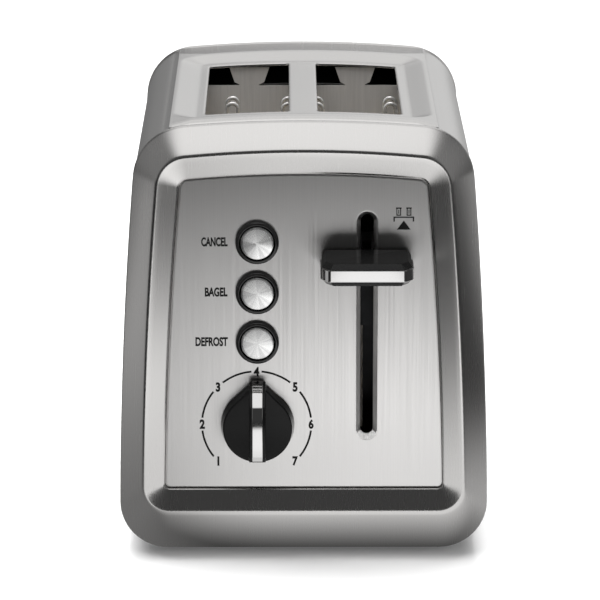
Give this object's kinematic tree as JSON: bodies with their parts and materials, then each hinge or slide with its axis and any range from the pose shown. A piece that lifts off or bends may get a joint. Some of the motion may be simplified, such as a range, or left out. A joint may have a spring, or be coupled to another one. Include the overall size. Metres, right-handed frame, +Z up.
{
  "type": "pop-up toaster",
  "caption": "Two-slot long-body pop-up toaster in brushed steel with a front lever, push buttons, browning dial and rear crumb tray.",
  "frame": {"origin": "under the middle of the object, on the surface its feet stand on", "axes": "+Z up, the control panel faces -Y, +X to the right when looking at the panel"},
  "size_m": [0.1688, 0.25, 0.2035],
  "materials": {
    "steel": "fine brushed, satin",
    "black_matte": "moulded, matt",
    "black_gloss": "gloss black",
    "rubber_black": "matt",
    "zinc": "zinc plated",
    "relay_blue": "moulded",
    "board_green": "lacquered laminate",
    "pot_steel": "plated",
    "spun_aluminium": "spun, fine circular brushing",
    "chrome": "polished",
    "brass": "turned",
    "plated_sheet": "plated sheet",
    "blued_sheet": "blackened sheet",
    "spring_steel": "drawn wire",
    "core_iron": "laminated",
    "copper_enamel": "enamelled copper winding",
    "chamber_sheet": "aluminised sheet, slightly heat toned",
    "mica": "mica board",
    "nichrome": "ribbon, oxidised",
    "wire_chrome": "plated wire"
  },
  "bodies": {
    "root": {"body_wrap": "steel", "front_bezel": "steel", "rear_bezel": "steel", "control_panel": "steel", "rear_panel": "steel", "panel_carrier": "black_matte", "rear_frame": "black_matte", "base_frame": "black_matte", "feet": "rubber_black", "base_screws": "zinc", "rear_screws": "zinc", "pcb_screws": "zinc", "power_relay": "relay_blue", "button_switches": "black_matte", "circuit_board": "board_green", "shade_potentiometer": "pot_steel", "cord_inlet": "black_matte", "cancel_ring": "black_gloss", "bagel_ring": "black_gloss", "defrost_ring": "black_gloss", "guide_rods": "chrome", "rod_bracket": "plated_sheet", "return_spring": "spring_steel", "magnet_core": "core_iron", "magnet_coil": "copper_enamel", "chamber_front_plate": "blued_sheet", "chamber_rear_plate": "chamber_sheet", "reflector_left": "chamber_sheet", "reflector_right": "chamber_sheet", "heater_boards": "mica", "heater_ribbons": "nichrome"},
    "carriage": {"lever_knob": "black_gloss", "lever_trim": "chrome", "lever_arm": "blued_sheet", "carriage_slider": "black_matte", "carriage_bracket": "blued_sheet", "armature": "plated_sheet", "bread_rack_left": "plated_sheet", "bread_rack_right": "plated_sheet"},
    "shade_knob": {"knob_body": "black_gloss", "knob_insert": "chrome", "knob_shaft": "brass"},
    "cancel_button": {"cancel_cap": "spun_aluminium", "cancel_plunger": "black_matte"},
    "bagel_button": {"bagel_cap": "spun_aluminium", "bagel_plunger": "black_matte"},
    "defrost_button": {"defrost_cap": "spun_aluminium", "defrost_plunger": "black_matte"},
    "crumb_tray_body": {"crumb_tray": "plated_sheet", "tray_pull": "black_matte"},
    "guard_left_outer_body": {"guard_left_outer_uprights": "wire_chrome", "guard_left_outer_bars": "wire_chrome"},
    "guard_left_inner_body": {"guard_left_inner_uprights": "wire_chrome", "guard_left_inner_bars": "wire_chrome"},
    "guard_right_inner_body": {"guard_right_inner_uprights": "wire_chrome", "guard_right_inner_bars": "wire_chrome"},
    "guard_right_outer_body": {"guard_right_outer_uprights": "wire_chrome", "guard_right_outer_bars": "wire_chrome"}
  },
  "joints": [
    {"name": "carriage_slide", "type": "slide", "parent": "root", "child": "carriage", "axis": [0, 0, 1], "range_m": [-0.076, 0.015], "stiffness_N_per_m": 55, "deforming": ["return_spring"]},
    {"name": "shade_turn", "type": "hinge", "parent": "root", "child": "shade_knob", "pos_m": [-0.021, -0.1, 0.0643], "axis": [0, 1, 0], "range_deg": [-135, 135]},
    {"name": "cancel_press", "type": "slide", "parent": "root", "child": "cancel_button", "axis": [0, 1, 0], "range_m": [0, 0.0025], "stiffness_N_per_m": 300, "springref_m": -0.001},
    {"name": "bagel_press", "type": "slide", "parent": "root", "child": "bagel_button", "axis": [0, 1, 0], "range_m": [0, 0.0025], "stiffness_N_per_m": 300, "springref_m": -0.001},
    {"name": "defrost_press", "type": "slide", "parent": "root", "child": "defrost_button", "axis": [0, 1, 0], "range_m": [0, 0.0025], "stiffness_N_per_m": 300, "springref_m": -0.001},
    {"name": "tray_slide", "type": "slide", "parent": "root", "child": "crumb_tray_body", "axis": [0, 1, 0], "range_m": [0, 0.16]},
    {"name": "guard_left_outer_tilt", "type": "hinge", "parent": "root", "child": "guard_left_outer_body", "pos_m": [-0.0395, 0.011, 0.03], "axis": [0, 1, 0], "range_deg": [-0.27, 1.14]},
    {"name": "guard_left_inner_tilt", "type": "hinge", "parent": "root", "child": "guard_left_inner_body", "pos_m": [-0.0112, 0.011, 0.03], "axis": [0, 1, 0], "range_deg": [-1.57, 0.35]},
    {"name": "guard_right_inner_tilt", "type": "hinge", "parent": "root", "child": "guard_right_inner_body", "pos_m": [0.0112, 0.011, 0.03], "axis": [0, 1, 0], "range_deg": [-0.35, 1.57]},
    {"name": "guard_right_outer_tilt", "type": "hinge", "parent": "root", "child": "guard_right_outer_body", "pos_m": [0.0405, 0.011, 0.03], "axis": [0, 1, 0], "range_deg": [-2.23, 0.48]}
  ],
  "couplings": [
    {"joint": "guard_left_outer_tilt", "follows": "carriage_slide", "rad_per_m": -0.25},
    {"joint": "guard_left_inner_tilt", "follows": "carriage_slide", "rad_per_m": 0.35},
    {"joint": "guard_right_inner_tilt", "follows": "carriage_slide", "rad_per_m": -0.35},
    {"joint": "guard_right_outer_tilt", "follows": "carriage_slide", "rad_per_m": 0.5}
  ]
}
